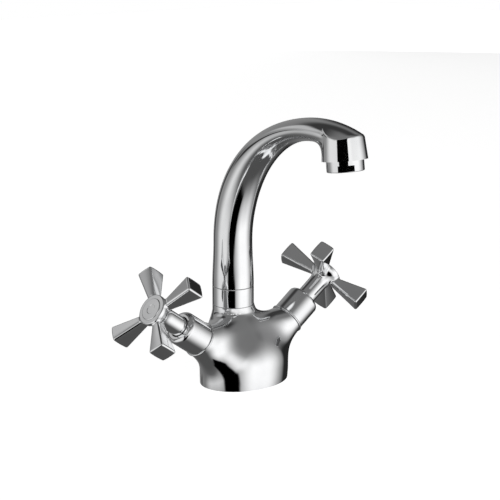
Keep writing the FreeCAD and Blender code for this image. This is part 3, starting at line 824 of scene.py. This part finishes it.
# soft panels in the tent, in degrees from the camera's own direction: right, up, half width, half height,
# softness of the sides, softness of the top and bottom, lean, brightness; each lies over the ones before it
tentPanels = {
    "topShade": (180, 54, 75, 12, 30, 16, 0, 0.04),
    "frontSoftbox": (62, -12, 38, 34, 50, 50, 0, 1.08),
    "sideSoftbox": (-60, -6, 34, 24, 40, 28, 0, 0.78),
    "highSoftbox": (-112, 33, 18, 12, 12, 12, 0, 0.5),
    "middleSoftbox": (14, 12, 24, 13, 20, 24, 0, 0.95),
    "rightShade": (150, -5, 26, 34, 14, 24, 0, 0.02),
    "leftShade": (-138, -8, 8, 16, 8, 14, 0, 0.04),
    "thinShade": (-112, 5, 14, 4, 10, 5, 0, 0.02),
    "darkForeground": (-4, -32, 21, 21, 7, 8, -0.25, 0.0),
    "darkSide": (-8, -14, 17, 12, 7, 8, -0.7, 0.0),
}
# black card close to the outlet head, on the camera's side
headCard = {"distance": 0.055, "left": -0.042, "right": 0.013, "bottom": 0.156, "top": 0.210}


def glowing(name):
    finish = bpy.data.materials.new(name)
    finish.use_nodes = True
    tree = finish.node_tree
    tree.nodes.clear()
    glow = tree.nodes.new("ShaderNodeEmission")
    strength = tree.nodes.new("ShaderNodeAttribute")
    strength.attribute_name = "glow"
    output = tree.nodes.new("ShaderNodeOutputMaterial")
    tree.links.new(strength.outputs["Fac"], glow.inputs["Strength"])
    tree.links.new(glow.outputs["Emission"], output.inputs["Surface"])
    return finish


def staged(name, points, faces, finish):
    mesh = bpy.data.meshes.new(name)
    mesh.from_pydata(points, [], faces)
    mesh.materials.append(finish)
    piece = bpy.data.objects.new(name, mesh)
    bpy.context.scene.collection.objects.link(piece)
    return piece


def makeFloor():
    half = paleFloor["size"] / 2
    finish, shader = newFinish("paleFloor", 0.0)[:2]
    tone = paleFloor["tone"]
    shader.inputs["Base Color"].default_value = (tone, tone, tone, 1)
    shader.inputs["Roughness"].default_value = paleFloor["rough"]
    shader.inputs["Emission Color"].default_value = (1, 1, 1, 1)
    shader.inputs["Emission Strength"].default_value = paleFloor["glow"]
    corners = [(-half, -half, 0), (half, -half, 0), (half, half, 0), (-half, half, 0)]
    floor = staged("floor", corners, [(0, 1, 2, 3)], finish)
    floor.visible_glossy = False


def panelShare(offset, half, soft):
    return smoothStep((half + soft / 2 - np.abs(offset)) / soft)  # half way at the panel's nominal edge


def cameraSide():
    look = np.array(photoCamera["eye"]) - np.array(photoCamera["aim"])
    return math.atan2(look[1], look[0])


def makeTent():
    size = lightTent
    facing = cameraSide()
    right = np.linspace(-180, 180, size["columns"], endpoint=False)
    up = np.linspace(-90, 90, size["rows"] + 1)
    right, up = [grid.ravel() for grid in np.meshgrid(right, up)]
    ends = np.where(up > 0, size["top"], size["bottom"])
    glow = between(size["middle"], ends, smoothStep(np.abs(up) / size["fade"]))
    for middleRight, middleUp, halfWidth, halfHeight, sideSoft, topSoft, lean, tone in tentPanels.values():
        turn = (right - middleRight - lean * (up - middleUp) + 180) % 360 - 180
        share = panelShare(turn, halfWidth, sideSoft) * panelShare(up - middleUp, halfHeight, topSoft)
        glow = between(glow, tone, share)
    turn, rise = np.radians(right) + facing, np.radians(up)
    points = np.stack([np.cos(turn) * np.cos(rise), np.sin(turn) * np.cos(rise), np.sin(rise)], 1)
    points = points * size["radius"] + np.array(size["centre"])
    faces = []
    for row in range(size["rows"]):
        for column in range(size["columns"]):
            following = (column + 1) % size["columns"]
            low, high = row * size["columns"], (row + 1) * size["columns"]
            faces.append((low + column, high + column, high + following, low + following))
    tent = staged("lightTent", points.tolist(), faces, glowing("tentGlow"))
    tent.data.attributes.new("glow", "FLOAT", "POINT").data.foreach_set("value", glow.astype(np.float32))
    tent.visible_camera = False


def makeHeadCard():
    size = headCard
    ahead = Vector((math.cos(cameraSide()), math.sin(cameraSide()), 0))
    across = Vector((-ahead.y, ahead.x, 0))
    middle = Vector((outletHead["place"][0], outletHead["place"][1], 0)) * mm + ahead * size["distance"]
    corners = [middle + across * out + Vector((0, 0, height)) for out, height in
               ((size["left"], size["bottom"]), (size["right"], size["bottom"]),
                (size["right"], size["top"]), (size["left"], size["top"]))]
    finish = bpy.data.materials.new("blackCard")
    finish.use_nodes = True
    shader = finish.node_tree.nodes["Principled BSDF"]
    shader.inputs["Base Color"].default_value = (0, 0, 0, 1)
    shader.inputs["Specular IOR Level"].default_value = 0.0
    card = staged("headCard", corners, [(0, 1, 2, 3)], finish)
    card.visible_camera = False
    card.visible_diffuse = False
    card.visible_shadow = False


def makeWorld():
    world = bpy.data.worlds.new("studioAir")
    bpy.context.scene.world = world
    world.use_nodes = True
    world.node_tree.nodes["Background"].inputs["Color"].default_value = (1, 1, 1, 1)


def makeCamera():
    lens = bpy.data.cameras.new("photoCamera")
    lens.lens = photoCamera["lens"]
    lens.sensor_width = photoCamera["sensor"]
    camera = bpy.data.objects.new("photoCamera", lens)
    bpy.context.scene.collection.objects.link(camera)
    eye = Vector(photoCamera["eye"])
    camera.location = eye
    camera.rotation_euler = (Vector(photoCamera["aim"]) - eye).to_track_quat("-Z", "Y").to_euler()
    bpy.context.scene.camera = camera


makeFloor()
makeTent()
makeHeadCard()
makeWorld()
makeCamera()
bpy.context.scene.view_settings.view_transform = "Standard"
print("studio: floor, tent with", len(tentPanels), "panels, camera")
